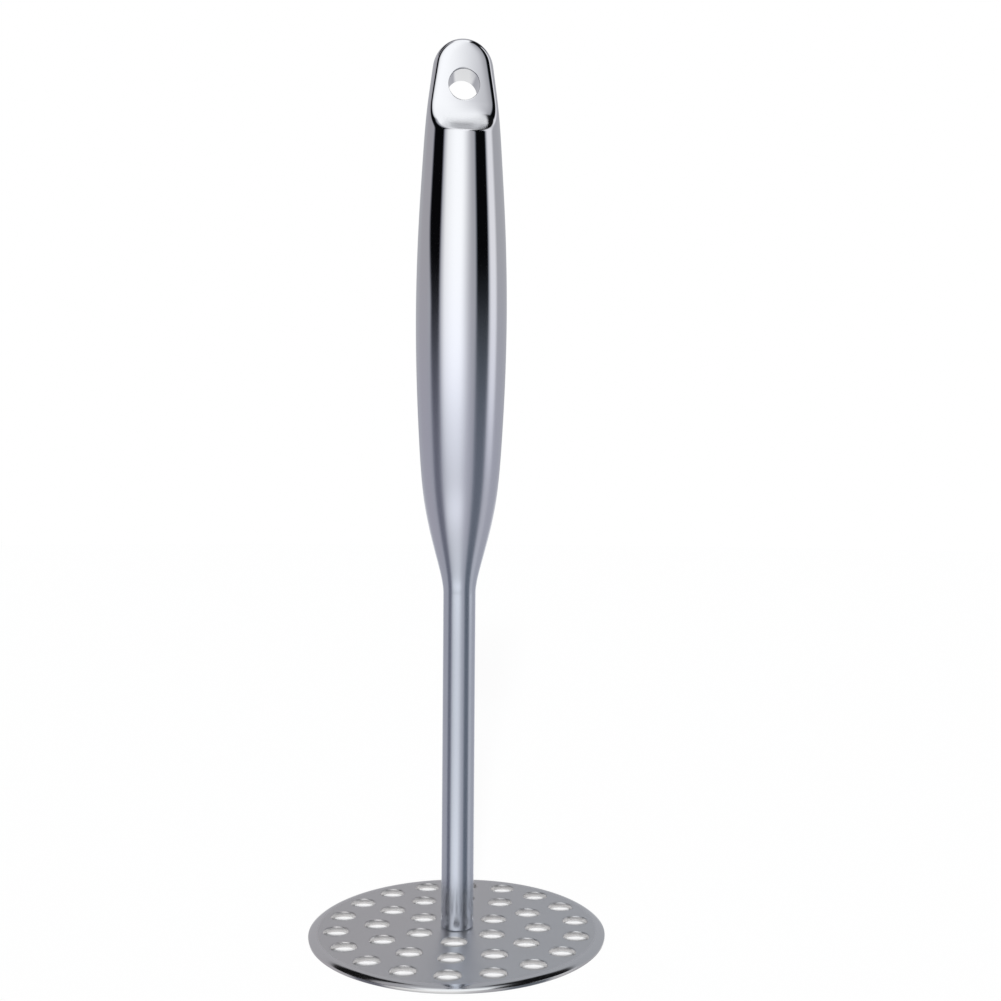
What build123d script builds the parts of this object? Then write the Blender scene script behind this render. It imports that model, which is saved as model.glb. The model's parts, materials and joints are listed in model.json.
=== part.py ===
from build123d import *
from math import cos, floor, pi, radians, sin, sqrt
import os

# A one-handed potato masher in stainless steel, standing on its plate.
# Sizes are millimetres and angles are degrees. +Z runs up the shaft, and the
# underside of the plate is at height zero. The flats of the hanging end face -Y and +Y.

# Whole masher
total_height = 262.3
fit_clearance = 0.05  # gap round a piece that is pushed into another
overrun = 5.0  # how far a cutting shape reaches past the surface that it cuts

# Masher plate: a round disc with rings of holes, each with rounded rims
plate_diameter = 86.6
plate_thickness = 1.6
plate_round_share = 0.4  # of the plate's thickness
hole_diameter = 7.4
hole_round_share = 0.2  # of the plate's thickness
holes_per_ring_step = 6  # the rings hold 6, 12 and 18 holes
hub_margin = 3.7  # solid steel between the shaft and the first ring of holes
rim_margin = 4.25  # solid steel outside the last ring of holes
least_ring_web = 3.5  # the least steel that is left between two rings
plate_turn = -8.0  # turn of the hole pattern against the flats of the hanging end

# Shaft: a straight tube between the plate and the handle
shaft_diameter = 9.5
shaft_wall = 1.0
neck_height = 100.0  # where the shaft ends and the handle starts

# Handle: a hollow round grip that flares out of the neck and tapers to the top
grip_diameter = 26.7
handle_wall = 1.0
neck_lean = 4.0  # outward lean of the outline at the neck
crown_radius = 8.95  # round top of the hanging end
crown_lean = 8.0  # inward lean of the outline where the round top begins
flare_rise_shares = [0.052, 0.109, 0.166, 0.272]  # of the outline's height
flare_swell_shares = [0.182, 0.449, 0.658, 0.847]  # from the shaft's radius to the grip's
belly_rise_share = 0.498
taper_rise_shares = [0.737, 0.886]
taper_swell_shares = [0.804, 0.475]  # from the crown's radius to the grip's

# Hanging end: a solid end with two flats, a scoop under each and a hole through both
flat_thickness = 10.5
flat_round = 2.0  # rounded edge all round each flat
scoop_radius = 11.0
hang_hole_diameter = 9.0
hang_hole_round = 0.25
hang_hole_drop = 14.5  # from the top of the handle to the middle of the hole
hang_hole_margin = 0.5  # flat left under the hole before the scoop starts
end_joint_margin = 7.0  # round handle between the scoops and the end's joint
end_spigot_length = 8.0
spigot_chamfer = 0.6

# Welds: filler in a V groove round each joint, ground flush with the surface
weld_depth_share = 0.6  # of the wall that it joins

# Neck spigot: a turned plug that hangs in the flare and reaches down into the shaft
neck_spigot_rise = 11.0
neck_spigot_drop = 14.0

# Foot: a tapped plug in the shaft's lower end and a countersunk screw from below
foot_plug_length = 16.0
screw_diameter = 5.0
screw_length = 12.0
screw_run_out = 1.5  # drilled depth past the tip of the screw
screw_recess = 0.1  # the head lies this much above the plate's underside
screw_head_share = 0.7  # height of the head's cone, of the plate's thickness
socket_width = 3.0
socket_depth_share = 0.8  # of the plate's thickness

# Worked out from the sizes above
plate_radius = plate_diameter / 2
plate_round = plate_round_share * plate_thickness
hole_radius = hole_diameter / 2
hole_round = hole_round_share * plate_thickness
shaft_radius = shaft_diameter / 2
first_ring_radius = shaft_radius + hub_margin + hole_radius
last_ring_radius = plate_radius - rim_margin - hole_radius
ring_steps = floor((last_ring_radius - first_ring_radius) / (hole_diameter + least_ring_web))
shaft_bore_radius = shaft_radius - shaft_wall
grip_radius = grip_diameter / 2
crown_centre_height = total_height - crown_radius
shoulder_radius = crown_radius * cos(radians(crown_lean))
shoulder_height = crown_centre_height + crown_radius * sin(radians(crown_lean))
outline_height = shoulder_height - neck_height
hang_hole_radius = hang_hole_diameter / 2
hang_hole_height = total_height - hang_hole_drop
flat_depth = flat_thickness / 2
flat_end_height = hang_hole_height - hang_hole_radius - hang_hole_margin
end_joint_height = flat_end_height - scoop_radius - end_joint_margin
screw_radius = screw_diameter / 2
screw_head_height = screw_head_share * plate_thickness
screw_head_radius = screw_radius + screw_head_height  # a cone of 90 degrees
screw_bore_radius = screw_radius + fit_clearance
socket_depth = socket_depth_share * plate_thickness


def handle_side(inset):
    """The long curve of the handle's side, moved towards the axis by inset."""
    points = [(shaft_radius - inset, neck_height)]
    for rise, swell in zip(flare_rise_shares, flare_swell_shares):
        radius = shaft_radius + swell * (grip_radius - shaft_radius)
        points.append((radius - inset, neck_height + rise * outline_height))
    points.append((grip_radius - inset, neck_height + belly_rise_share * outline_height))
    for rise, swell in zip(taper_rise_shares, taper_swell_shares):
        radius = shoulder_radius + swell * (grip_radius - shoulder_radius)
        points.append((radius - inset, neck_height + rise * outline_height))
    points.append((shoulder_radius - inset, shoulder_height))
    neck_direction = (sin(radians(neck_lean)), cos(radians(neck_lean)))
    crown_direction = (-sin(radians(crown_lean)), cos(radians(crown_lean)))
    return Spline(points, tangents=[neck_direction, crown_direction])


def outside_section():
    """Half section of the handle's outside, from the neck to the round top."""
    with BuildSketch(Plane.XZ) as half:
        with BuildLine():
            side = handle_side(0)
            CenterArc((0, crown_centre_height), crown_radius, crown_lean, 90 - crown_lean)
            Polyline((0, total_height), (0, neck_height), side @ 0)
        make_face()
    return half.sketch


def inside_section(inset):
    """Half section of the room inside the handle, inset away from the outside."""
    with BuildSketch(Plane.XZ) as half:
        with BuildLine():
            side = handle_side(inset)
            Polyline(side @ 1, (0, shoulder_height), (0, neck_height), side @ 0)
        make_face()
    return half.sketch


def groove_section(surface_radius, height, depth):
    """Section of a V groove of 90 degrees that opens outwards at the given height."""
    mouth = depth + overrun
    outer_radius = surface_radius + overrun
    with BuildSketch(Plane.XZ) as groove:
        with BuildLine():
            Polyline(
                (surface_radius - depth, height),
                (outer_radius, height + mouth),
                (outer_radius, height - mouth),
                close=True,
            )
        make_face()
    return groove.sketch


# Outer form of shaft and handle together, which shapes the welds
with BuildPart() as outside:
    revolve(outside_section(), axis=Axis.Z)
    with BuildSketch(Plane.XY.offset(plate_thickness)):
        Circle(shaft_radius)
    extrude(amount=neck_height - plate_thickness)

joint_disc = section(
    outside.part, section_by=Plane.XY.offset(end_joint_height), mode=Mode.PRIVATE
)
end_joint_radius = sqrt(joint_disc.area / pi)
end_groove = groove_section(end_joint_radius, end_joint_height, weld_depth_share * handle_wall)
neck_groove = groove_section(shaft_radius, neck_height, weld_depth_share * min(handle_wall, shaft_wall))

# Handle shell: the hollow grip, open at the neck and under the hanging end
with BuildPart() as handle_shell:
    revolve(outside_section(), axis=Axis.Z)
    revolve(inside_section(handle_wall), axis=Axis.Z, mode=Mode.SUBTRACT)
    split(bisect_by=Plane.XY.offset(end_joint_height), keep=Keep.BOTTOM)
    revolve(neck_groove, axis=Axis.Z, mode=Mode.SUBTRACT)
    revolve(end_groove, axis=Axis.Z, mode=Mode.SUBTRACT)

# Hanging end: solid, with a spigot that enters the shell
with BuildPart() as hanging_end:
    revolve(outside_section(), axis=Axis.Z)
    split(bisect_by=Plane.XY.offset(end_joint_height), keep=Keep.TOP)
    revolve(end_groove, axis=Axis.Z, mode=Mode.SUBTRACT)
    # Each flat runs down into a round scoop that comes out through the handle's side
    with BuildSketch(Plane.YZ):
        with BuildLine():
            scoop = CenterArc(
                (flat_depth + scoop_radius, flat_end_height), scoop_radius, 180, 90
            )
            Polyline(
                scoop @ 1,
                (grip_radius + scoop_radius + overrun, flat_end_height - scoop_radius),
                (grip_radius + scoop_radius + overrun, total_height + overrun),
                (flat_depth, total_height + overrun),
                scoop @ 0,
            )
        make_face()
        mirror(about=Plane.YZ)
    extrude(amount=grip_radius + overrun, both=True, mode=Mode.SUBTRACT)
    flats = faces().filter_by(Axis.Y)
    scoops = faces().filter_by(GeomType.CYLINDER)
    rims = (flats.edges() + scoops.edges()).filter_by(Axis.X, reverse=True)
    fillet(rims, radius=flat_round)
    with BuildSketch(Plane.XY.offset(end_joint_height)):
        Circle(end_joint_radius - handle_wall - fit_clearance)
    extrude(amount=-end_spigot_length)
    chamfer(edges().sort_by(Axis.Z)[0], length=spigot_chamfer)
    with BuildSketch(Plane.XZ):
        with Locations((0, hang_hole_height)):
            Circle(hang_hole_radius)
    extrude(amount=grip_radius, both=True, mode=Mode.SUBTRACT)
    hole_rims = faces().filter_by(Axis.Y).edges().filter_by(GeomType.CIRCLE)
    fillet(hole_rims.filter_by(lambda rim: rim.is_closed), radius=hang_hole_round)

# Weld that closes the groove between the shell and the hanging end
with BuildPart() as end_weld:
    revolve(end_groove, axis=Axis.Z)
    add(outside.part, mode=Mode.INTERSECT)

# Weld that closes the groove between the shell and the shaft
with BuildPart() as neck_weld:
    revolve(neck_groove, axis=Axis.Z)
    add(outside.part, mode=Mode.INTERSECT)

# Neck spigot: its head fills the lower end of the flare, its stem the top of the shaft
with BuildPart() as neck_spigot:
    revolve(inside_section(handle_wall + fit_clearance), axis=Axis.Z)
    split(bisect_by=Plane.XY.offset(neck_height + neck_spigot_rise), keep=Keep.BOTTOM)
    with BuildSketch(Plane.XY.offset(neck_height)):
        Circle(shaft_bore_radius - fit_clearance)
    extrude(amount=-neck_spigot_drop)
    chamfer(edges().sort_by(Axis.Z)[0], length=spigot_chamfer)
    chamfer(edges().sort_by(Axis.Z)[-1], length=spigot_chamfer)

# Shaft tube
with BuildPart() as shaft_tube:
    with BuildSketch(Plane.XY.offset(plate_thickness)):
        Circle(shaft_radius)
        Circle(shaft_bore_radius, mode=Mode.SUBTRACT)
    extrude(amount=neck_height - plate_thickness)
    revolve(neck_groove, axis=Axis.Z, mode=Mode.SUBTRACT)

# Foot plug: flush with the tube's lower end and tapped for the screw
with BuildPart() as foot_plug:
    with BuildSketch(Plane.XY.offset(plate_thickness)):
        Circle(shaft_bore_radius - fit_clearance)
    extrude(amount=foot_plug_length)
    chamfer(edges().sort_by(Axis.Z)[-1], length=spigot_chamfer)
    with BuildSketch(Plane.XY.offset(plate_thickness)):
        Circle(screw_bore_radius)
    extrude(amount=screw_length + screw_run_out - plate_thickness, mode=Mode.SUBTRACT)

# Masher plate
with BuildPart() as masher_plate:
    with BuildSketch(Plane.XY):
        Circle(plate_radius)
        for ring in range(ring_steps + 1):
            out_share = ring / ring_steps
            ring_radius = first_ring_radius + out_share * (last_ring_radius - first_ring_radius)
            hole_count = holes_per_ring_step * (ring + 1)
            with PolarLocations(ring_radius, hole_count, start_angle=90 + plate_turn):
                Circle(hole_radius, mode=Mode.SUBTRACT)
    extrude(amount=plate_thickness)
    rims = edges().filter_by(GeomType.CIRCLE).group_by(SortBy.RADIUS)
    fillet(rims[-1], radius=plate_round)
    fillet(rims[0], radius=hole_round)
    # Countersunk hole for the screw
    with BuildSketch(Plane.XZ):
        with BuildLine():
            Polyline(
                (0, 0),
                (screw_head_radius + screw_recess + fit_clearance, 0),
                (screw_bore_radius, screw_recess + screw_head_height),
                (screw_bore_radius, plate_thickness),
                (0, plate_thickness),
                close=True,
            )
        make_face()
    revolve(axis=Axis.Z, mode=Mode.SUBTRACT)

# Plate screw: a flat countersunk head with a hexagon socket
with BuildPart() as plate_screw:
    with BuildSketch(Plane.XZ):
        with BuildLine():
            Polyline(
                (0, screw_recess),
                (screw_head_radius, screw_recess),
                (screw_radius, screw_recess + screw_head_height),
                (screw_radius, screw_length),
                (0, screw_length),
                close=True,
            )
        make_face()
    revolve(axis=Axis.Z)
    chamfer(edges().sort_by(Axis.Z)[-1], length=spigot_chamfer)
    with BuildSketch(Plane.XY.offset(screw_recess)):
        RegularPolygon(socket_width / 2, 6, major_radius=False)
    extrude(amount=socket_depth, mode=Mode.SUBTRACT)

pieces = {
    "hanging_end": hanging_end,
    "end_weld": end_weld,
    "handle_shell": handle_shell,
    "neck_weld": neck_weld,
    "neck_spigot": neck_spigot,
    "shaft_tube": shaft_tube,
    "foot_plug": foot_plug,
    "masher_plate": masher_plate,
    "plate_screw": plate_screw,
}
os.makedirs("parts", exist_ok=True)
for name, piece in pieces.items():
    piece.part.label = name
    export_step(piece.part, f"parts/{name}.step")
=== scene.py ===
# %% [markdown]
# A one-handed potato masher in stainless steel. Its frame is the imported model: nine solid pieces
# at their real size, in metres, with the plate's underside at height zero. This script gives
# them their finish, puts them in a plain pale studio and looks at them from where the
# photograph was taken.

# %% Load the frame
import json
import math

import bmesh
import bpy
import numpy as np
from mathutils import Matrix, Vector


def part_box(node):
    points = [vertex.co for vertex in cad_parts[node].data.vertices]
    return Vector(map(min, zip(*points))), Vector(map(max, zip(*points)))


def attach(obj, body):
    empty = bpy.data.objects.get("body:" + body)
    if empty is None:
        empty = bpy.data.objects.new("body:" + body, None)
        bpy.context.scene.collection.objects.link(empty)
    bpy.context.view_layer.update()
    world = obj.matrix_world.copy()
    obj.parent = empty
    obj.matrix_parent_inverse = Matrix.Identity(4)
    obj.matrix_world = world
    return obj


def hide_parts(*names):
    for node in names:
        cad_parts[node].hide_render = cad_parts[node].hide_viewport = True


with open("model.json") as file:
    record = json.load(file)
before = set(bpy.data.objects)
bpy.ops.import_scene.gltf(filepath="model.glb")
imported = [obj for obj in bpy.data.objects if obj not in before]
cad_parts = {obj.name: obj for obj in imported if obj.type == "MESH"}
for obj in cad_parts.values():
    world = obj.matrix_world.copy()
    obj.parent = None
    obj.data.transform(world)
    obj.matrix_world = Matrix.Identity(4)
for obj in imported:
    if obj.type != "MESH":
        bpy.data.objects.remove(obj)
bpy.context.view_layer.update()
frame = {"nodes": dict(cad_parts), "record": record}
print("pieces in the frame:", ", ".join(sorted(frame["nodes"])))

# %% [markdown]
# The main sizes are read from the frame, so the looks follow the part when one of them changes.
# A node's box gives its lowest and highest corner, and a helper gives all corners of its mesh.
# The hanging hole is a mount in the record, and the corners above it give the flats' depth.

# %% Sizes from the frame
MM = 0.001
_, plate_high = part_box("masher_plate")
_, shaft_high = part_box("shaft_tube")
weld_low, weld_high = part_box("end_weld")
neck_weld_low, neck_weld_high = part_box("neck_weld")
_, end_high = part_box("hanging_end")
plate_top = plate_high.z
neck_height = shaft_high.z
shaft_radius = shaft_high.x
joint_height = (weld_low.z + weld_high.z) / 2
top_height = end_high.z


def corners(node_name):
    """All corners of a node's mesh, one row of x, y, z for each."""
    mesh = frame["nodes"][node_name].data
    flat = np.empty(len(mesh.vertices) * 3)
    mesh.vertices.foreach_get("co", flat)
    return flat.reshape(-1, 3)


hole_mount = next(m for m in frame["record"]["mounts"] if m["name"] == "hang_hole")
hole_height = hole_mount["pos_m"][2]
hole_radius = hole_mount["dims"]["r_mm"] * MM
end_corners = corners("hanging_end")
above_hole = end_corners[:, 2] > hole_height + hole_radius
flat_depth = np.abs(end_corners[above_hole, 1]).max()
print(f"plate top {plate_top / MM:.1f} mm, neck {neck_height / MM:.1f} mm, top {top_height / MM:.1f} mm")
print(f"hanging hole {hole_radius / MM:.1f} mm in radius, flats {flat_depth / MM:.2f} mm from the axis")

# %% [markdown]
# The camera looks level from a little under half the masher's height, so upright edges stay
# upright. It stands a third of a metre away, turned six degrees against the flats, and it is
# rolled by less than half a degree. The field of view comes from the focal length in pixels
# of a picture that is 1001 pixels wide.

# %% Camera
PICTURE_WIDTH = 1001
FOCAL_PIXELS = 1149.75
SENSOR_WIDTH = 36.0
camera_place = Vector((-23.57, -338.09, 127.0)) * MM
camera_turn = math.radians(6.0)
camera_roll = math.radians(0.4)

camera_data = bpy.data.cameras.new("camera")
camera_data.sensor_width = SENSOR_WIDTH
camera_data.lens = FOCAL_PIXELS / PICTURE_WIDTH * SENSOR_WIDTH
camera_data.clip_start = 0.01
camera = bpy.data.objects.new("camera", camera_data)
upright = Matrix.Rotation(math.radians(90), 4, "X")
turned = Matrix.Rotation(-camera_turn, 4, "Z")
rolled = Matrix.Rotation(camera_roll, 4, "Z")
camera.matrix_world = Matrix.Translation(camera_place) @ turned @ upright @ rolled
bpy.context.scene.collection.objects.link(camera)
bpy.context.scene.camera = camera
bpy.context.scene.view_settings.view_transform = "Standard"
print(f"lens {camera_data.lens:.2f} mm")


# %% [markdown]
# Shader maths reads best as plain expressions. One small class wraps the output socket of a
# node and overloads the operators that are used here. `add_node` adds any other node: its
# settings are set first, then the values or links of its sockets.

# %% Socket wrapper
class Sock:
    """An output socket of a node tree that takes part in Python expressions."""

    def __init__(self, tree, out):
        self.tree = tree
        self.out = out

    def math(self, operation, *values):
        return add_node(self.tree, "ShaderNodeMath", {"operation": operation}, self, *values)

    def __add__(self, other):
        return self.math("ADD", other)

    __radd__ = __add__

    def __sub__(self, other):
        return self.math("SUBTRACT", other)

    def __rsub__(self, other):
        return add_node(self.tree, "ShaderNodeMath", {"operation": "SUBTRACT"}, other, self)

    def __mul__(self, other):
        return self.math("MULTIPLY", other)

    __rmul__ = __mul__

    def __truediv__(self, other):
        return self.math("DIVIDE", other)

    def __rtruediv__(self, other):
        return add_node(self.tree, "ShaderNodeMath", {"operation": "DIVIDE"}, other, self)

    def step(self, start, end, low=0.0, high=1.0):
        """Smooth change from low to high while the value goes from start to end."""
        settings = {"interpolation_type": "SMOOTHSTEP"}
        return add_node(self.tree, "ShaderNodeMapRange", settings, self, start, end, low, high)

    def mix(self, first, second):
        """Colour that goes from the first to the second while this value goes from 0 to 1."""
        return add_node(self.tree, "ShaderNodeMix", {"data_type": "RGBA"}, self, first, second, out=2)


def add_node(tree, kind, settings=None, *values, out=0, **named):
    """Adds a node, sets it, fills its sockets in order or by name, and wraps one output."""
    node = tree.nodes.new(kind)
    for name, value in (settings or {}).items():
        setattr(node, name, value)
    pairs = list(zip([s for s in node.inputs if s.enabled], values))
    pairs += [(node.inputs[name.replace("_", " ")], value) for name, value in named.items()]
    for socket, value in pairs:
        if isinstance(value, Sock):
            tree.links.new(value.out, socket)
        else:
            socket.default_value = value
    return Sock(tree, node.outputs[out])


def new_tree(data):
    """An empty node tree of a world or a material."""
    data.use_nodes = True
    data.node_tree.nodes.clear()
    return data.node_tree


# %% [markdown]
# Polished steel has no colour of its own to speak of: it shows the room. The room is a plain
# studio, described by direction, so that each stripe on the handle can be put where the
# photograph has it. A big soft light stands in front and a little to the left, and runs on as a
# long white panel overhead. Two dark cards stand left and right of it and draw the black
# stripes. A narrow strip light stands behind the right card, a grey wall stands at the left, and
# a white sweep lies low behind the masher. Three more dark cards hang high up and draw the thin
# black line round the flat. All else is mid grey.

# %% Studio cards, by direction
GREY_ROOM_LEVEL, GREY_ROOM_TINT = 0.53, (0.93, 0.935, 1.0)
PANEL_TINT = (0.975, 0.985, 1.0)
# Directions are in degrees: round the masher, 0 towards the camera and 90 to its right, and
# upwards. An edge is a pair of directions, where a card starts and where it is full.
# name: left edge, right edge, level high up, level low down, tint
studio_cards = {
    "left wall": ((-142, -128), (-88, -98), 0.5, 0.52, (0.95, 0.93, 1.0)),
    "left dark card": ((-88, -78), (-52, -61), 0.004, 0.21, (0.8, 0.82, 1.0)),
    "soft light": ((-60, -42), (32, -6), 1.42, 0.84, PANEL_TINT),
    "right dark card": ((33, 42), (76, 69), 0.004, 0.21, (0.75, 0.85, 1.0)),
    "strip light": ((72, 82), (106, 93), 1.05, 0.65, (0.96, 0.96, 1.0)),
}
CARD_RISE = (-5, 15)
CARD_TOP, CARD_BOTTOM = (72, 60), (-62, -42)
LIGHT_RISE = (-7, 2)
LIGHT_FOOT, LIGHT_FOOT_END, LIGHT_FOOT_LEVEL = (-10, -18), (-29, -22), 0.34
LIGHT_MIDDLE, LIGHT_FALL_OFF = -12, 75
LIGHT_LEAN, LIGHT_LEAN_RISE = 4, (10, 26)
CARD_LEAN, CARD_LEAN_RISE = 12, (9, 18)
SWEEP_EDGE, SWEEP_TOP, SWEEP_LEVEL = (140, 165), (2, -8), 1.0
# The panel's side and back edges are parts of the direction sideways and towards the camera
PANEL_SIDE, PANEL_FRONT, PANEL_BACK, PANEL_LEVEL = (0.3, 0.18), (18, 70), (-0.35, -0.05), 1.35
HIGH_CARD_FROM, HIGH_CARD_TO, HIGH_CARD_LEVEL = (104, 114), (171, 163), 0.01
# side, -1 left and 1 right: lower edge, upper edge
high_cards = {-1: ((35, 40), (61, 55)), 1: ((40, 46), (69, 63))}
TOP_CARD_SIDE, TOP_CARD_BOTTOM = (0.21, 0.28), (54, 60)
print("studio cards:", ", ".join(studio_cards))

# %% [markdown]
# The world's shader turns each direction into two angles and lays the cards over the grey room
# one by one. The soft light is brightest in its middle, dimmer below level than above it, and a
# little brighter again where the lower shaft mirrors it. Its right edge and the left dark card's
# left edge lean outwards higher up. The camera alone sees plain white instead of this room.

# %% Studio
view_line = Vector((-camera_place.x, -camera_place.y, 0)).normalized()
view_right = Vector((view_line.y, -view_line.x, 0))
world = bpy.data.worlds.new("studio")
bpy.context.scene.world = world
tree = new_tree(world)
direction = add_node(tree, "ShaderNodeTexCoord", out="Generated")
dot = {"operation": "DOT_PRODUCT"}
ahead = add_node(tree, "ShaderNodeVectorMath", dot, direction, tuple(-view_line), out="Value")
aside = add_node(tree, "ShaderNodeVectorMath", dot, direction, tuple(view_right), out="Value")
upwards = add_node(tree, "ShaderNodeSeparateXYZ", None, direction, out="Z")
azimuth = aside.math("ARCTAN2", ahead).math("DEGREES")
elevation = upwards.math("ARCSINE").math("DEGREES")
behind = azimuth.math("ABSOLUTE")

sweep = behind.step(*SWEEP_EDGE) * elevation.step(*SWEEP_TOP)
level = sweep * (SWEEP_LEVEL - GREY_ROOM_LEVEL) + GREY_ROOM_LEVEL
tint = sweep.mix((*GREY_ROOM_TINT, 1), (1, 1, 1, 1))

leaning_card = azimuth + elevation.step(*CARD_LEAN_RISE, 0, CARD_LEAN)
leaning_light = azimuth - elevation.step(*LIGHT_LEAN_RISE, 0, LIGHT_LEAN)
off_middle = (azimuth - LIGHT_MIDDLE) / LIGHT_FALL_OFF
light_crown = 1 - off_middle * off_middle
light_foot = elevation.step(*LIGHT_FOOT) * elevation.step(*LIGHT_FOOT_END) * LIGHT_FOOT_LEVEL
for name, (left_edge, right_edge, high_level, low_level, card_tint) in studio_cards.items():
    is_light = name == "soft light"
    left_side = leaning_card if name == "left dark card" else azimuth
    right_side = leaning_light if is_light else azimuth
    mask = left_side.step(*left_edge) * right_side.step(*right_edge)
    rise = LIGHT_RISE if high_level > low_level else CARD_RISE
    card_level = elevation.step(*rise) * (high_level - low_level) + low_level
    if is_light:
        card_level = (card_level + light_foot) * light_crown
    else:
        mask = mask * elevation.step(*CARD_TOP) * elevation.step(*CARD_BOTTOM)
    level = level + mask * (card_level - level)
    tint = mask.mix(tint, (*card_tint, 1))

for side, (lower_edge, upper_edge) in high_cards.items():
    to_side = azimuth * side
    mask = to_side.step(*HIGH_CARD_FROM) * to_side.step(*HIGH_CARD_TO)
    mask = mask * elevation.step(*lower_edge) * elevation.step(*upper_edge)
    level = level + mask * (HIGH_CARD_LEVEL - level)
panel = aside.math("ABSOLUTE").step(*PANEL_SIDE) * elevation.step(*PANEL_FRONT)
panel = panel * ahead.step(*PANEL_BACK)
level = level + panel * (PANEL_LEVEL - level)
tint = panel.mix(tint, (*PANEL_TINT, 1))
top_card = aside.step(*TOP_CARD_SIDE) * elevation.step(*TOP_CARD_BOTTOM)
level = level + top_card * (HIGH_CARD_LEVEL - level)

path = tree.nodes.new("ShaderNodeLightPath")
seen = Sock(tree, path.outputs["Is Camera Ray"])
strength = level + seen * (1 - level)
seen_colour = seen.mix(tint, (1, 1, 1, 1))
background = add_node(tree, "ShaderNodeBackground", None, seen_colour, strength)
output = tree.nodes.new("ShaderNodeOutputWorld")
tree.links.new(background.out, output.inputs["Surface"])
print("studio laid out,", len(tree.nodes), "shader nodes")

# %% [markdown]
# A low lamp in front rakes across the table and shines into the plate's holes. The near edge of
# each hole shades most of its well, and only a bright crescent is left at the far side. The
# lamp has no mirror image, so it lights matt things only.

# %% Low lamp
LAMP_HEIGHT = math.radians(16.5)
LAMP_WIDTH = math.radians(5)
LAMP_POWER = 11.0
low_lamp_data = bpy.data.lights.new("low_lamp", "SUN")
low_lamp_data.energy = LAMP_POWER
low_lamp_data.angle = LAMP_WIDTH
low_lamp = bpy.data.objects.new("low_lamp", low_lamp_data)
low_lamp.rotation_euler = (math.pi / 2 - LAMP_HEIGHT, 0, -camera_turn)
low_lamp.visible_glossy = False
bpy.context.scene.collection.objects.link(low_lamp)
print(f"low lamp {math.degrees(LAMP_HEIGHT):.1f} degrees above the table")

# %% [markdown]
# The floor is a matt white disc, a hair below the plate. The camera sees most of it as plain
# white, with a faint soft shadow beside the plate. Polished steel sees it as a pale table top
# under the plate only, and the studio beyond, as on a small table. It doesn't show from below,
# nor to the plate's own underside, so that the underside can be looked at.

# %% Floor
FLOOR_RADIUS = 3.0
FLOOR_STEPS = 96
FLOOR_GLOW = 0.94
FLOOR_WHITE = 0.6
FLOOR_GAP = 0.04 * MM
TOO_NEAR = 5 * FLOOR_GAP
table_edge = (plate_high.x - 2 * MM, plate_high.x - 1 * MM)
glow_edge = (plate_high.x - 2 * MM, plate_high.x)

turn = np.linspace(0, 2 * np.pi, FLOOR_STEPS, endpoint=False)
floor_sides = np.column_stack((np.cos(turn), np.sin(turn))) * FLOOR_RADIUS
floor_corners = np.column_stack((floor_sides, np.full(FLOOR_STEPS, -FLOOR_GAP)))
floor_mesh = bpy.data.meshes.new("floor")
floor_mesh.from_pydata(floor_corners.tolist(), [], [list(range(FLOOR_STEPS))])
floor = bpy.data.objects.new("floor", floor_mesh)
bpy.context.scene.collection.objects.link(floor)

floor_paint = bpy.data.materials.new("floor_paint")
tree = new_tree(floor_paint)
path = tree.nodes.new("ShaderNodeLightPath")
seen = Sock(tree, path.outputs["Is Camera Ray"])
glossy = Sock(tree, path.outputs["Is Glossy Ray"])
too_near = Sock(tree, path.outputs["Ray Length"]).math("LESS_THAN", TOO_NEAR)
from_below = add_node(tree, "ShaderNodeNewGeometry", out="Backfacing")
place = add_node(tree, "ShaderNodeTexCoord", out="Object")
from_middle = add_node(tree, "ShaderNodeVectorMath", {"operation": "LENGTH"}, place, out="Value")
matt = add_node(tree, "ShaderNodeBsdfDiffuse", None, (FLOOR_WHITE, FLOOR_WHITE, FLOOR_WHITE, 1))
glow = add_node(tree, "ShaderNodeEmission", None, (1, 1, 1, 1), 1.0)
clear = add_node(tree, "ShaderNodeBsdfTransparent", None, (1, 1, 1, 1))
glowing = seen * from_middle.step(*glow_edge) * FLOOR_GLOW
paint = add_node(tree, "ShaderNodeMixShader", None, glowing, matt, glow)
off_table = glossy * from_middle.step(*table_edge)
paint = add_node(tree, "ShaderNodeMixShader", None, off_table, paint, clear)
paint = add_node(tree, "ShaderNodeMixShader", None, from_below.math("MAXIMUM", too_near), paint, clear)
output = tree.nodes.new("ShaderNodeOutputMaterial")
tree.links.new(paint.out, output.inputs["Surface"])
floor_mesh.materials.append(floor_paint)
print(f"floor {FLOOR_RADIUS:.1f} m in radius, {FLOOR_GAP / MM:.2f} mm below the plate")

# %% [markdown]
# The handle is one smooth outline turned round the axis, ground and polished as a whole after
# welding. A mirror shows every facet, so its pieces are made again here as fine surfaces. Their
# outline is read from the frame: a polynomial through the radius of all outside corners gives
# one smooth curve. The round top is part of a ball, whose radius follows from any corner on it:
# (r squared + h squared) / 2h, at a radius r and a depth h below the top.

# %% Outline of the handle
OUTLINE_DEGREE = 18
CROWN_LEAN = math.radians(8)
OUTWARD = 0.8
BALL_DEPTHS = (2 * MM, 5 * MM)


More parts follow.
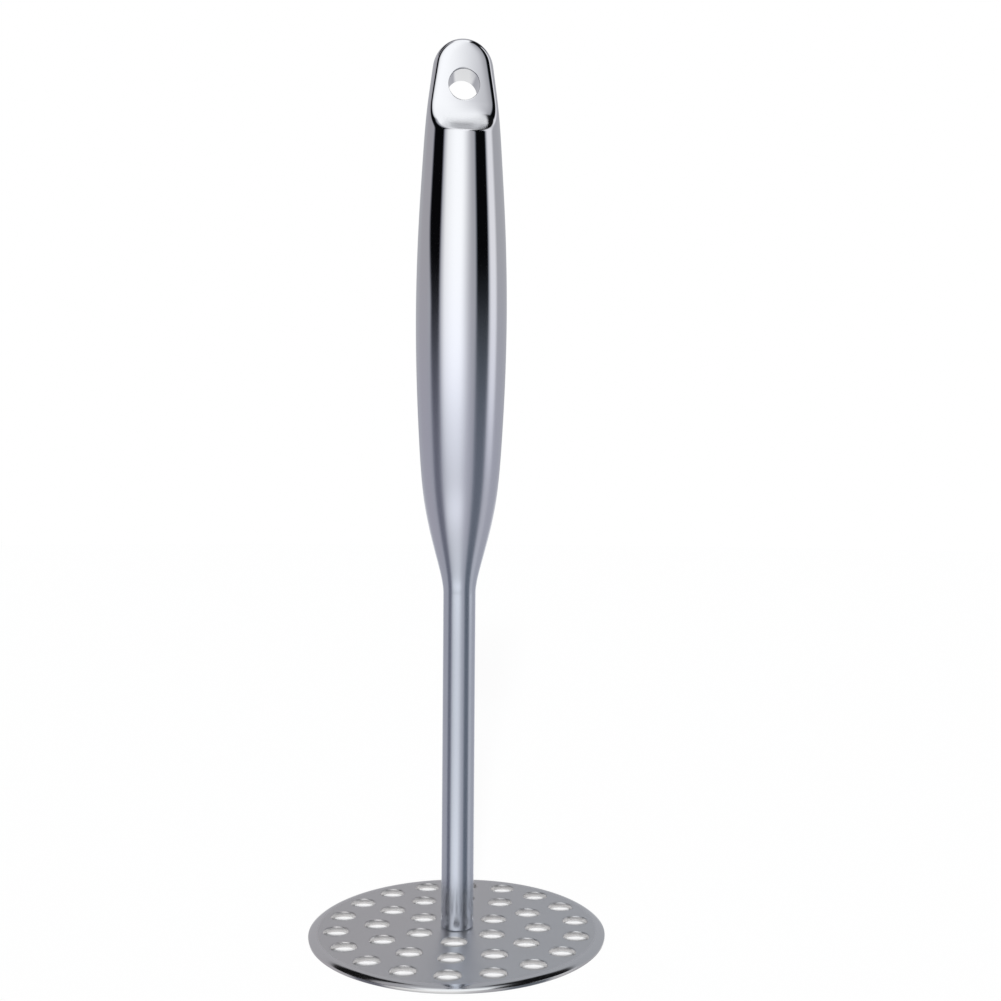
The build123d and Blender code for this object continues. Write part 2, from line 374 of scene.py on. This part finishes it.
def outside_points(node_name, widest_depth):
    """Radius, sqrt(x squared + y squared), and height of the corners on a node's round outside.

    They belong to faces that look away from the axis, and whose middles lie no further to the
    front or back than the widest depth. That leaves out the flats.
    """
    mesh = frame["nodes"][node_name].data
    places = corners(node_name)
    normals = np.empty(len(mesh.polygons) * 3)
    mesh.polygons.foreach_get("normal", normals)
    normals = normals.reshape(-1, 3)
    used = np.empty(len(mesh.loops), dtype=int)
    mesh.loops.foreach_get("vertex_index", used)
    used = used.reshape(-1, 3)
    middles = places[used].mean(axis=1)
    reach = np.hypot(middles[:, 0], middles[:, 1])
    outward = (normals[:, :2] * middles[:, :2]).sum(axis=1) / reach
    kept = places[np.unique(used[(outward > OUTWARD) & (np.abs(middles[:, 1]) < widest_depth)])]
    return np.hypot(kept[:, 0], kept[:, 1]), kept[:, 2]


shell_radii, shell_heights = outside_points("handle_shell", np.inf)
end_radii, end_heights = outside_points("hanging_end", flat_depth / 3)
depth_below_top = top_height - end_heights
on_ball = (depth_below_top > BALL_DEPTHS[0]) & (depth_below_top < BALL_DEPTHS[1])
crown_radius = np.median((end_radii**2 + depth_below_top**2)[on_ball] / (2 * depth_below_top[on_ball]))
crown_middle = top_height - crown_radius
shoulder = crown_middle + crown_radius * math.sin(CROWN_LEAN)
below = end_heights < shoulder
known_radii = np.concatenate((shell_radii, end_radii[below]))
known_heights = np.concatenate((shell_heights, end_heights[below]))
outline = np.polynomial.Chebyshev.fit(known_heights, known_radii, OUTLINE_DEGREE)
print(f"round top {crown_radius / MM:.2f} mm in radius, {len(known_radii)} outline points")
print(f"largest miss of the outline {np.abs(outline(known_heights) - known_radii).max() / MM:.4f} mm")


def handle_radius(height):
    """Radius of the handle's outside: the fitted outline, and above the shoulder the ball.

    The ball's is the square root of its radius squared less the height above its middle squared.
    """
    ball = np.sqrt(np.maximum(crown_radius**2 - (height - crown_middle) ** 2, 0))
    return np.where(height > shoulder, ball, outline(np.minimum(height, shoulder)))


# %% [markdown]
# Three helpers make every new surface. `grid_mesh` turns a grid of points into a mesh in which
# each row of the grid is a closed ring. `tidy_mesh` merges points that lie on each other, so a
# ring that has shrunk to a point closes an end. `add_piece` puts the mesh into the scene: it rides
# on the masher's one body, stands for a node of the frame and takes that node's finish.

# %% Surface helpers
SHARP = math.radians(35)
SAME_PLACE = 1e-7
NO_LENGTH = 1e-8


def grid_mesh(name, grid, loops_back=False):
    """Mesh of a grid of points whose rows are closed rings, and which may close on its first row."""
    rows, columns = grid.shape[:2]
    number = np.arange(rows * columns).reshape(rows, columns)
    start = number if loops_back else number[:-1]
    after = np.roll(number, -1, axis=0) if loops_back else number[1:]
    quads = np.stack((start, np.roll(start, -1, 1), np.roll(after, -1, 1), after), axis=-1)
    mesh = bpy.data.meshes.new(name)
    mesh.from_pydata(grid.reshape(-1, 3).tolist(), [], quads.reshape(-1, 4).tolist())
    return mesh


def tidy_mesh(mesh):
    """Merges doubled points, drops faces without area and turns all faces outwards."""
    work = bmesh.new()
    work.from_mesh(mesh)
    bmesh.ops.remove_doubles(work, verts=work.verts, dist=SAME_PLACE)
    bmesh.ops.dissolve_degenerate(work, edges=work.edges, dist=NO_LENGTH)
    bmesh.ops.recalc_face_normals(work, faces=work.faces)
    work.to_mesh(mesh)
    work.free()
    mesh.shade_smooth()
    mesh.set_sharp_from_angle(angle=SHARP)


def add_piece(name, mesh, node_name, material):
    """Puts a finished mesh into the scene as the piece that stands for one node."""
    tidy_mesh(mesh)
    piece = bpy.data.objects.new(name, mesh)
    bpy.context.scene.collection.objects.link(piece)
    mesh.materials.clear()
    mesh.materials.append(material)
    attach(piece, "root")
    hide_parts(node_name)
    size = np.array(piece.dimensions) / MM
    print(f"{name}: {len(mesh.polygons)} faces, {size[0]:.1f} x {size[1]:.1f} x {size[2]:.1f} mm")
    return piece


# %% [markdown]
# The steel is bare, so all its character is in how smooth it is and which way it was polished.
# Every finish is one metal shader: a base colour of about 0.6 to 0.7, which is what stainless
# steel reflects, a roughness that may change over the surface, and a fine raised pattern.

# %% Steel helpers
def steel_tree(name, colour):
    """A bare metal: its material, its nodes, its shader and its coordinates."""
    material = bpy.data.materials.new(name)
    tree = new_tree(material)
    shader = tree.nodes.new("ShaderNodeBsdfPrincipled")
    shader.inputs["Base Color"].default_value = (*colour, 1)
    shader.inputs["Metallic"].default_value = 1.0
    output = tree.nodes.new("ShaderNodeOutputMaterial")
    tree.links.new(shader.outputs[0], output.inputs["Surface"])
    place = add_node(tree, "ShaderNodeTexCoord", out="Object")
    return material, tree, shader, place


def feed(tree, shader, **sockets):
    """Links values that change over the surface to the shader's sockets."""
    for name, value in sockets.items():
        tree.links.new(value.out, shader.inputs[name.replace("_", " ")])


def noise(tree, place, stretch, detail=2.0):
    """Soft random pattern whose grains per metre are given along x, y and z."""
    scaled = add_node(tree, "ShaderNodeVectorMath", {"operation": "MULTIPLY"}, place, stretch)
    values = {"Scale": 1.0, "Detail": detail, "Roughness": 0.5, "Vector": scaled}
    return add_node(tree, "ShaderNodeTexNoise", {"noise_dimensions": "3D"}, out=0, **values)


def raised(tree, pattern, height):
    """Normal of a surface that a 0 to 1 pattern raises by a height in metres."""
    values = {"Strength": 1.0, "Distance": height, "Height": pattern}
    return add_node(tree, "ShaderNodeBump", None, out="Normal", **values)


def part_of(tree, vector, axis):
    """The part of a place or a direction along one axis."""
    return add_node(tree, "ShaderNodeSeparateXYZ", None, vector, out=axis)


FINE_GRAIN = 0.004 * MM
print("steel finishes share a grain of", FINE_GRAIN / MM, "mm")

# %% [markdown]
# The handle is bright at the hanging end and gets a fine lengthwise satin towards the neck,
# where its tone goes over into the shaft's. The scoop under the flat can't be reached by the big
# polishing wheel, so its middle keeps a softer satin.

# %% Handle steel
HANDLE_COLOUR = (0.68, 0.685, 0.70)
SATIN_COLOUR = (0.635, 0.65, 0.725)
SHAFT_COLOUR = (0.61, 0.645, 0.72)
SATIN_RUN = (212 * MM, 135 * MM)
NECK_RUN = (neck_height + 22 * MM, neck_height)
SCOOP_SLOPE = (0.25, 0.6)
SCOOP_SIDES = (8 * MM, 5 * MM)
SCOOP_EDGE = 4 * MM
BRIGHT, SATIN_ROUGHNESS, SCOOP_ROUGHNESS, SMUDGES = 0.05, 0.17, 0.28, 0.05

handle_steel, tree, shader, place = steel_tree("handle_steel", HANDLE_COLOUR)
height = part_of(tree, place, "Z")
off_centre = part_of(tree, place, "X").math("ABSOLUTE")
facing = add_node(tree, "ShaderNodeNewGeometry", out="Normal")
in_scoop = part_of(tree, facing, "Z").step(*SCOOP_SLOPE) * off_centre.step(*SCOOP_SIDES)
in_scoop = in_scoop * height.step(joint_height, joint_height + SCOOP_EDGE)
in_scoop = in_scoop * height.step(hole_height, hole_height - SCOOP_EDGE)
satin = height.step(*SATIN_RUN)
grain = noise(tree, place, (2600, 2600, 30), 3.0)
smudge = noise(tree, place, (60, 60, 40))
tone = satin.mix((*HANDLE_COLOUR, 1), (*SATIN_COLOUR, 1))
feed(
    tree,
    shader,
    Base_Color=height.step(*NECK_RUN).mix(tone, (*SHAFT_COLOUR, 1)),
    Roughness=satin * SATIN_ROUGHNESS + in_scoop * SCOOP_ROUGHNESS + BRIGHT + (smudge - 0.5) * SMUDGES,
    Normal=raised(tree, grain * satin, FINE_GRAIN),
)
print("handle steel: satin below", round(SATIN_RUN[0] / MM), "mm")

# %% [markdown]
# The shaft has the grinder's fine lengthwise grain. The pieces that hide inside are turned, with
# fine rings round their axis, and the screw has a plain machined skin.

# %% Shaft, turned and screw steel
SHAFT_ROUGHNESS, SHAFT_SMUDGES = 0.2, 0.06
shaft_steel, tree, shader, place = steel_tree("shaft_steel", SHAFT_COLOUR)
grain = noise(tree, place, (3000, 3000, 24), 3.0)
smudge = noise(tree, place, (90, 90, 50))
shaft_roughness = smudge * SHAFT_SMUDGES + SHAFT_ROUGHNESS
feed(tree, shader, Roughness=shaft_roughness, Normal=raised(tree, grain, FINE_GRAIN))

TURNED_COLOUR = (0.58, 0.58, 0.60)
TURNED_ROUGHNESS, RING_CONTRAST, RING_HEIGHT = 0.25, 0.15, 0.01 * MM
turned_steel, tree, shader, place = steel_tree("turned_steel", TURNED_COLOUR)
rings = noise(tree, place, (20, 20, 4000))
turned_roughness = rings * RING_CONTRAST + TURNED_ROUGHNESS
feed(tree, shader, Roughness=turned_roughness, Normal=raised(tree, rings, RING_HEIGHT))

SCREW_COLOUR = (0.60, 0.60, 0.62)
SCREW_ROUGHNESS, SCREW_CONTRAST, SCREW_GRAIN = 0.22, 0.15, 0.006 * MM
screw_steel, tree, shader, place = steel_tree("screw_steel", SCREW_COLOUR)
grain = noise(tree, place, (900, 900, 900), 3.0)
screw_roughness = grain * SCREW_CONTRAST + SCREW_ROUGHNESS
feed(tree, shader, Roughness=screw_roughness, Normal=raised(tree, grain, SCREW_GRAIN))
print("three plain finishes: shaft, turned, screw")

# %% [markdown]
# The plate is sheet with hair scratches from washing up, which make it softer than the handle.
# Its rolled rim is bright again, because the polishing wheel ran over it. The walls of the
# punched holes keep a satin, and their colour is a little lighter, as painted light against the
# shade in the holes. The right side of the sheet has a cooler, slightly darker tone, which is
# painted shade. The sheet is not quite even, so its mirror images waver.

# %% Plate steel
PLATE_COLOUR = (0.665, 0.652, 0.645)
# Painted shade: a cooler, slightly darker tone laid over the right side of the sheet
PLATE_PAINTED_SHADE_COLOUR = (0.635, 0.652, 0.66)
# Painted light: the hole walls are a little lighter than the sheet, against the shade in the holes
WALL_PAINTED_LIGHT_COLOUR = (0.69, 0.68, 0.675)
WALL_SLOPE = (0.6, 0.2)
RIM_RUN = (plate_high.x - 3 * MM, plate_high.x - 2 * MM)
PAINTED_SHADE_RUN, PAINTED_SHADE_LEAN = (-25 * MM, 35 * MM), 0.5
SHEET_ROUGHNESS, RIM_BRIGHTER, WALL_SOFTER, SHEET_SMUDGES = 0.34, 0.27, 0.03, 0.08
SHEET_WAVE = 0.1 * MM

plate_steel, tree, shader, place = steel_tree("plate_steel", PLATE_COLOUR)
facing = add_node(tree, "ShaderNodeNewGeometry", out="Normal")
on_wall = part_of(tree, facing, "Z").math("ABSOLUTE").step(*WALL_SLOPE)
across, along = part_of(tree, place, "X"), part_of(tree, place, "Y")
reach = (across * across + along * along).math("SQRT")
on_rim = reach.step(*RIM_RUN)
# Painted shade: how far a point lies towards the right of the plate, past a leaning edge
painted_shade_right = (across - along * PAINTED_SHADE_LEAN).step(*PAINTED_SHADE_RUN)
sheet_tone_and_painted_shade = painted_shade_right.mix((*PLATE_COLOUR, 1), (*PLATE_PAINTED_SHADE_COLOUR, 1))
wave = noise(tree, place, (70, 70, 70))
smudge = noise(tree, place, (120, 120, 120), 3.0)
feed(
    tree,
    shader,
    # Painted light on the hole walls, and painted shade on the right side of the sheet
    Base_Color=on_wall.mix(sheet_tone_and_painted_shade, (*WALL_PAINTED_LIGHT_COLOUR, 1)),
    Roughness=smudge * SHEET_SMUDGES + SHEET_ROUGHNESS - on_rim * RIM_BRIGHTER + on_wall * WALL_SOFTER,
    Normal=raised(tree, wave, SHEET_WAVE),
)
print("plate steel: satin sheet with a bright rim")

# %% [markdown]
# The grip is a hollow shell. Its section is one closed loop: up the outside between the two weld
# grooves, in along the upper groove, down the inside and out along the lower groove. The groove
# faces slope at 45 degrees, and the welds fill them. The loop is carried once round the axis.

# %% Grip shell
ROUND_STEPS = 288
OUTSIDE_STEPS, INSIDE_STEPS = 230, 40
shell_low_z, shell_high_z = neck_weld_high.z, weld_low.z
neck_groove_depth = (neck_weld_high.z - neck_weld_low.z) / 2
end_groove_depth = (weld_high.z - weld_low.z) / 2
WALL = 1.0 * MM


def turned_grid(section, columns):
    """A section of (radius, height) points carried once round the axis: x = r cos a, y = r sin a."""
    angle = np.linspace(0, 2 * np.pi, columns, endpoint=False)
    radius, height = section[:, :1], section[:, 1:]
    return np.stack((radius * np.cos(angle), radius * np.sin(angle), height + 0 * angle), axis=-1)


heights = np.linspace(shell_low_z, shell_high_z, OUTSIDE_STEPS)
outside = np.column_stack((handle_radius(heights), heights))
inner_heights = np.linspace(joint_height, neck_height, INSIDE_STEPS)
inside = np.column_stack((handle_radius(inner_heights) - WALL, inner_heights))
upper_lip = np.array([[handle_radius(joint_height) - end_groove_depth, joint_height]])
lower_lip = np.array([[handle_radius(neck_height) - neck_groove_depth, neck_height]])
section = np.concatenate((outside, upper_lip, inside, lower_lip))
shell_mesh = grid_mesh("grip_shell", turned_grid(section, ROUND_STEPS), loops_back=True)
grip_shell = add_piece("grip_shell", shell_mesh, "handle_shell", handle_steel)

# %% [markdown]
# Each weld fills a V groove and is ground flush, so nothing of it shows but, at most, a change
# of tone. Its section is a triangle whose outer side follows the handle's outline.

# %% Welds
WELD_STEPS = 6


def weld_ring(name, node_name, low, high, middle, depth):
    """Ring with a triangular section: along the outline from low to high, and in to its root."""
    heights = np.linspace(low, high, WELD_STEPS)
    outside = np.column_stack((np.maximum(handle_radius(heights), shaft_radius), heights))
    root = np.array([[max(handle_radius(middle), shaft_radius) - depth, middle]])
    ring = turned_grid(np.concatenate((outside, root)), ROUND_STEPS)
    return add_piece(name, grid_mesh(name, ring, loops_back=True), node_name, handle_steel)


weld_ring("upper_weld", "end_weld", weld_low.z, weld_high.z, joint_height, end_groove_depth)
weld_ring("neck_weld_ring", "neck_weld", neck_weld_low.z, neck_weld_high.z, neck_height, neck_groove_depth)

# %% [markdown]
# The hanging end is a solid bar of the same outline with a flat ground on its front and one on
# its back. Each flat runs down into a round scoop. At each height, the distance of the
# surface from the axis is the smaller of two: the outline's radius, and the distance to the
# flat in that direction. A smooth smallest value of both rounds the edge between them, as the
# polishing wheel does. The wheel also leaves the flat slightly crowned: y = depth - x squared /
# 2 crown radius, which gives the distance 2 depth / (s + sqrt(s squared + 2 depth c squared /
# crown radius)) in a direction with sine s and cosine c.

# %% Hanging end
FLAT_CROWN = 70 * MM
SCOOP_RADIUS = 11.0 * MM
FLAT_BELOW_HOLE = 0.5 * MM
EDGE_BLEND = 2.6 * MM
SIDE_ROWS, BALL_ROWS, END_COLUMNS = 120, 80, 340
flat_end = hole_height - hole_radius - FLAT_BELOW_HOLE


def smooth_smallest(a, b, width):
    """The smaller of two values, less width / 6 where they are equal, blended over width."""
    near = np.maximum(width - np.abs(a - b), 0) / width
    return np.minimum(a, b) - near**3 * width / 6


def cut_depth(height):
    """Depth of the flat from the axis, and below the flat that of the scoop, which comes outwards.

    The scoop adds its radius less the square root of its radius squared less the drop squared.
    """
    drop = np.clip(flat_end - height, 0, SCOOP_RADIUS * 0.999)
    return flat_depth + SCOOP_RADIUS - np.sqrt(SCOOP_RADIUS**2 - drop**2)


def end_distance(angle, height):
    """Distance of the hanging end's surface from the axis, by direction and height."""
    sine, cosine = np.abs(np.sin(angle)), np.cos(angle)
    depth = cut_depth(height)
    to_flat = 2 * depth / (sine + np.sqrt(sine**2 + 2 * depth * cosine**2 / FLAT_CROWN))
    return smooth_smallest(handle_radius(height), to_flat, EDGE_BLEND)


side_heights = np.linspace(weld_high.z, shoulder, SIDE_ROWS, endpoint=False)
ball_turns = np.linspace(CROWN_LEAN, np.pi / 2, BALL_ROWS)
ball_heights = crown_middle + crown_radius * np.sin(ball_turns)
heights = np.concatenate((side_heights, ball_heights))[:, None]
angles = np.linspace(0, 2 * np.pi, END_COLUMNS, endpoint=False)[None, :]
distance = np.maximum(end_distance(angles, heights), 0)
skin = np.stack((distance * np.cos(angles), distance * np.sin(angles), heights + 0 * angles), axis=-1)
skin[-1] = (0, 0, top_height)
root_radius = handle_radius(joint_height) - end_groove_depth
bottom = turned_grid(np.array([[0, joint_height], [root_radius, joint_height]]), END_COLUMNS)
end_mesh = grid_mesh("end_body", np.concatenate((bottom, skin)))
tidy_mesh(end_mesh)
print(f"hanging end before the hole: {len(end_mesh.polygons)} faces")

# %% [markdown]
# The hanging hole is drilled through both flats, and its rims are broken by hand. The drill is
# a solid turned round the hole's own axis: a straight bore that opens at each end on a quarter
# circle, so the cut leaves a rounded rim.

# %% Hanging hole
RIM_ROUND = 0.45 * MM
RIM_ROWS, DRILL_COLUMNS = 9, 160
rim_turn = np.linspace(0, np.pi / 2, RIM_ROWS)
rim_radii = hole_radius + RIM_ROUND * (1 - np.cos(rim_turn))
rim_depths = flat_depth - RIM_ROUND * (1 - np.sin(rim_turn))
reach = flat_depth + 3 * RIM_ROUND
half = np.column_stack((rim_radii, rim_depths))
far_end = np.array([[rim_radii[-1], reach], [0, reach]])
front_half = np.concatenate((half, far_end))
drill_section = np.concatenate((front_half[::-1] * (1, -1), front_half))
drill_grid = turned_grid(drill_section, DRILL_COLUMNS)
drill_grid = np.stack((drill_grid[..., 0], drill_grid[..., 2], drill_grid[..., 1] + hole_height), axis=-1)
drill_mesh = grid_mesh("drill", drill_grid)
tidy_mesh(drill_mesh)


def cut(body_mesh, tool_mesh, name):
    """The body without what the tool covers, as a new mesh."""
    body = bpy.data.objects.new(name, body_mesh)
    tool = bpy.data.objects.new(name + "_tool", tool_mesh)
    for item in (body, tool):
        bpy.context.scene.collection.objects.link(item)
    step = body.modifiers.new("cut", "BOOLEAN")
    step.operation = "DIFFERENCE"
    step.solver = "EXACT"
    step.object = tool
    ready = body.evaluated_get(bpy.context.evaluated_depsgraph_get())
    result = bpy.data.meshes.new_from_object(ready)
    for item in (body, tool):
        bpy.data.objects.remove(item)
    return result


drilled = cut(end_mesh, drill_mesh, "hanging_bar")
hanging_bar = add_piece("hanging_bar", drilled, "hanging_end", handle_steel)

# %% [markdown]
# The shaft is a straight ground tube. Its upper end carries the lower half of the neck's weld
# groove, and its lower end has a small rounded edge where it stands on the plate. That edge
# catches the light as a thin bright line above a dark one.

# %% Shaft tube
FOOT_ROUND = 0.5 * MM
FOOT_ROWS, OUTER_ROWS, BORE_ROWS = 8, 24, 12
SHAFT_STEPS = 192


def run(start, end, count):
    """Evenly spaced (radius, height) points on a straight line, without its last point."""
    share = np.linspace(0, 1, count, endpoint=False)[:, None]
    return np.array(start) + share * (np.array(end) - np.array(start))


foot_turn = np.linspace(-np.pi / 2, 0, FOOT_ROWS)
quarter = np.column_stack((np.cos(foot_turn) - 1, np.sin(foot_turn) + 1))
foot = quarter * FOOT_ROUND + (shaft_radius, plate_top)
outside = run((shaft_radius, plate_top + 2 * FOOT_ROUND), (shaft_radius, neck_weld_low.z), OUTER_ROWS)
bore_radius = shaft_radius - WALL
section = np.concatenate(
    (
        foot,
        outside,
        [[shaft_radius, neck_weld_low.z], [shaft_radius - neck_groove_depth, neck_height]],
        run((bore_radius, neck_height), (bore_radius, plate_top), BORE_ROWS),
        [[bore_radius, plate_top]],
    )
)
shaft_mesh = grid_mesh("shaft", turned_grid(section, SHAFT_STEPS), loops_back=True)
shaft = add_piece("shaft", shaft_mesh, "shaft_tube", shaft_steel)

# %% [markdown]
# The plate is a disc of sheet. Its upper rim is not just broken but rolled off over more than
# two millimetres by the polishing wheel: an arc of four millimetres in radius that falls to an
# upright side with small round edges. That roll gathers the dark cards into bold black lines
# along the rim. The disc is its half section turned round the axis.

# %% Plate blank
RIM_ROLL = 4.0 * MM
RIM_TURN = math.radians(35)
RIM_CORNER = 0.15 * MM
RIM_FOOT = 0.3 * MM
ROLL_ROWS, CORNER_ROWS, RIM_FOOT_ROWS = 22, 8, 7
PLATE_STEPS = 432
plate_radius = plate_high.x


def arc(middle, radius, start, end, count):
    """Points of (radius, height) on a circle: its middle plus its radius times sine and cosine.

    The angle is how far the circle's normal leans outwards from straight up.
    """
    lean = np.linspace(start, end, count)
    return np.column_stack((middle[0] + radius * np.sin(lean), middle[1] + radius * np.cos(lean)))


corner_drop = RIM_ROLL * (1 - math.cos(RIM_TURN)) + RIM_CORNER * math.cos(RIM_TURN)
roll_radius = plate_radius - RIM_CORNER * (1 - math.sin(RIM_TURN)) - RIM_ROLL * math.sin(RIM_TURN)
roll = arc((roll_radius, plate_top - RIM_ROLL), RIM_ROLL, 0, RIM_TURN, ROLL_ROWS)
corner_middle = (plate_radius - RIM_CORNER, plate_top - corner_drop)
corner = arc(corner_middle, RIM_CORNER, RIM_TURN, np.pi / 2, CORNER_ROWS)[1:]
foot = arc((plate_radius - RIM_FOOT, RIM_FOOT), RIM_FOOT, np.pi / 2, np.pi, RIM_FOOT_ROWS)
section = np.concatenate(([[0, plate_top]], roll, corner, foot, [[0, 0]]))
disc_mesh = grid_mesh("disc", turned_grid(section, PLATE_STEPS))
tidy_mesh(disc_mesh)
print(f"plate blank: rim rolled off over {(plate_radius - roll_radius) / MM:.1f} mm")

# %% [markdown]
# The holes are cut with turned tools that open on a quarter circle at both faces, as deburred
# holes do. They lie in three rings round the shaft, and the whole pattern is turned a little
# against the flats, as in the photograph. The middle hole is countersunk from below for the
# screw. All tools are joined into one mesh, so the plate is cut in one step.

# %% Plate holes
HOLE_RINGS = ((6, 12.15 * MM), (12, 23.75 * MM), (18, 35.35 * MM))
PATTERN_TURN = math.radians(90 - 8)
PLATE_HOLE_RADIUS = 3.7 * MM
HOLE_ROUND = 0.32 * MM
SCREW_HOLE = ((3.77 * MM, 0.0), (2.55 * MM, 1.22 * MM))
HOLE_RIM_ROWS, HOLE_STEPS = 7, 72
OVER = 1 * MM

wide = PLATE_HOLE_RADIUS + HOLE_ROUND
upper_rim = arc((wide, plate_top - HOLE_ROUND), HOLE_ROUND, 0, -np.pi / 2, HOLE_RIM_ROWS)
lower_rim = arc((wide, HOLE_ROUND), HOLE_ROUND, -np.pi / 2, -np.pi, HOLE_RIM_ROWS)
hole_top = [[0, plate_top + OVER], [wide, plate_top + OVER]]
hole_bottom = [[wide, -OVER], [0, -OVER]]
hole_section = np.concatenate((hole_top, upper_rim, lower_rim, hole_bottom))
(recess_radius, _), (bore_radius, bore_start) = SCREW_HOLE
flare = (recess_radius - bore_radius) / bore_start
screw_hole_section = np.array(
    [
        [0, plate_top + OVER],
        [bore_radius, plate_top + OVER],
        [bore_radius, bore_start],
        [recess_radius + flare * OVER, -OVER],
        [0, -OVER],
    ]
)
hole_places = [
    (ring_radius * math.cos(PATTERN_TURN + turn), ring_radius * math.sin(PATTERN_TURN + turn))
    for count, ring_radius in HOLE_RINGS
    for turn in np.linspace(0, 2 * np.pi, count, endpoint=False)
]
plate_corners = corners("masher_plate")
gaps = np.hypot(*(plate_corners[:, None, :2] - np.array(hole_places)[None]).transpose(2, 0, 1))
miss = abs(gaps.min() - PLATE_HOLE_RADIUS)
print(f"{len(hole_places)} holes, off the frame's by {miss / MM:.3f} mm")

one_hole = turned_grid(hole_section, HOLE_STEPS)
tools = bmesh.new()
for x, y in hole_places:
    tools.from_mesh(grid_mesh("hole_tool", one_hole + (x, y, 0)))
tools.from_mesh(grid_mesh("screw_hole_tool", turned_grid(screw_hole_section, HOLE_STEPS)))
tools_mesh = bpy.data.meshes.new("plate_tools")
tools.to_mesh(tools_mesh)
tools.free()
tidy_mesh(tools_mesh)

# %% [markdown]
# The cut plate stands for the frame's plate. Its level faces are kept dead flat, or the shading
# would lean towards the rounded rims of the holes.

# %% Masher plate
LEVEL_NORMAL = 0.99999


def keep_flats(mesh):
    """Marks the edges between level faces and all others, so that level faces stay dead flat."""
    work = bmesh.new()
    work.from_mesh(mesh)
    for edge in work.edges:
        level_faces = [abs(face.normal.z) > LEVEL_NORMAL for face in edge.link_faces]
        if any(level_faces) and not all(level_faces):
            edge.smooth = False
    work.to_mesh(mesh)
    work.free()


perforated = cut(disc_mesh, tools_mesh, "perforated_disc")
plate = add_piece("perforated_disc", perforated, "masher_plate", plate_steel)
keep_flats(plate.data)

# %% [markdown]
# The spigot, the plug and the screw sit inside or underneath. They keep the frame's own meshes,
# which are round enough there, and only get their finish.

# %% Inner pieces
own_finish = {
    "neck_spigot": turned_steel,
    "foot_plug": turned_steel,
    "plate_screw": screw_steel,
}
for name, material in own_finish.items():
    frame["nodes"][name].material_slots[0].material = material
print("dressed as they are:", ", ".join(own_finish))
